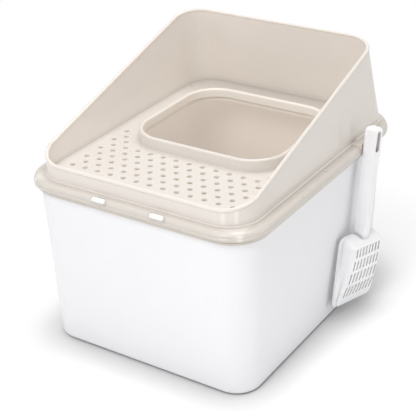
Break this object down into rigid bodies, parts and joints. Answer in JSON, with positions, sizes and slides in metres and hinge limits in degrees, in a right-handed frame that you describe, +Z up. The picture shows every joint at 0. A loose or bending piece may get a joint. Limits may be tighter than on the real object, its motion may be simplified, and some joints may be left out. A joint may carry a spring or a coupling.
{
  "type": "top entry litter box",
  "caption": "Litter box entered from above: bin with lift-out pan, perforated lid with a raised entry collar, sloping splash guard, latches and a hanging scoop.",
  "frame": {"origin": "on the resting plane, under the middle of the bin's footprint", "axes": "+Z up, front with the latches towards -Y, the scoop hangs at +X"},
  "size_m": [0.4557, 0.5218, 0.4477],
  "materials": {
    "white_shell": "fine satin white polypropylene",
    "beige_pan": "satin warm beige polypropylene",
    "beige_lid": "satin light beige polypropylene",
    "beige_guard": "satin light beige polypropylene",
    "white_button": "glossy white polypropylene",
    "white_scoop": "satin white polypropylene",
    "pad_rubber": "matt grey rubber"
  },
  "bodies": {
    "bin": {"bin": "white_shell", "pad_front_left": "pad_rubber", "pad_front_right": "pad_rubber", "pad_rear_left": "pad_rubber", "pad_rear_right": "pad_rubber"},
    "pan": {"litter_pan": "beige_pan"},
    "lid": {"entry_lid": "beige_lid", "splash_guard": "beige_guard", "scoop_hook": "beige_lid"},
    "scoop": {"scoop": "white_scoop"},
    "latch_left": {"latch_left": "white_button"},
    "latch_right": {"latch_right": "white_button"}
  },
  "joints": [
    {"name": "pan_lift", "type": "slide", "parent": "bin", "child": "pan", "axis": [0, 0, 1], "range_m": [0, 0.3]},
    {"name": "lid_lift", "type": "slide", "parent": "pan", "child": "lid", "axis": [0, 0, 1], "range_m": [0, 0.1]},
    {"name": "scoop_lift", "type": "slide", "parent": "lid", "child": "scoop", "axis": [0.0253, 0.1192, 0.9925], "range_m": [0, 0.025]},
    {"name": "latch_left_press", "type": "slide", "parent": "lid", "child": "latch_left", "axis": [0, 0.7071, -0.7071], "range_m": [0, 0.002], "stiffness_N_per_m": 400, "springref_m": -0.001},
    {"name": "latch_right_press", "type": "slide", "parent": "lid", "child": "latch_right", "axis": [0, 0.7071, -0.7071], "range_m": [0, 0.002], "stiffness_N_per_m": 400, "springref_m": -0.001}
  ]
}
